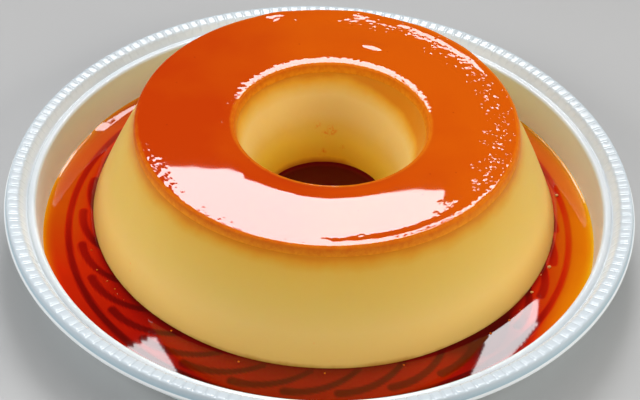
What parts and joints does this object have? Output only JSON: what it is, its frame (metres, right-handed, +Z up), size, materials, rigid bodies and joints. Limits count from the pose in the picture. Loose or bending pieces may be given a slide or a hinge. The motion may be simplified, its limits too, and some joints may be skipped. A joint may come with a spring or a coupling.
{
  "type": "creme caramel flan on a plate",
  "caption": "Ring-shaped creme caramel flan with a caramel-soaked top, standing in its own sauce on a round white plastic plate with a fluted rim.",
  "frame": {"origin": "middle of the plate's foot, on the surface it stands on", "axes": "+Z up along the plate's axis; the flan stands off the middle towards +Y, so the widest sauce shows on -Y"},
  "size_m": [0.28, 0.28, 0.0555],
  "materials": {
    "white_plastic": "glossy white formed plastic",
    "custard": "smooth moist custard",
    "caramel_layer": "wet caramel-soaked custard",
    "caramel_sauce": "clear runny caramel"
  },
  "bodies": {
    "root": {"plate": "white_plastic", "custard": "custard", "caramel_top": "caramel_layer", "caramel_pool": "caramel_sauce", "caramel_well": "caramel_sauce"}
  },
  "joints": []
}
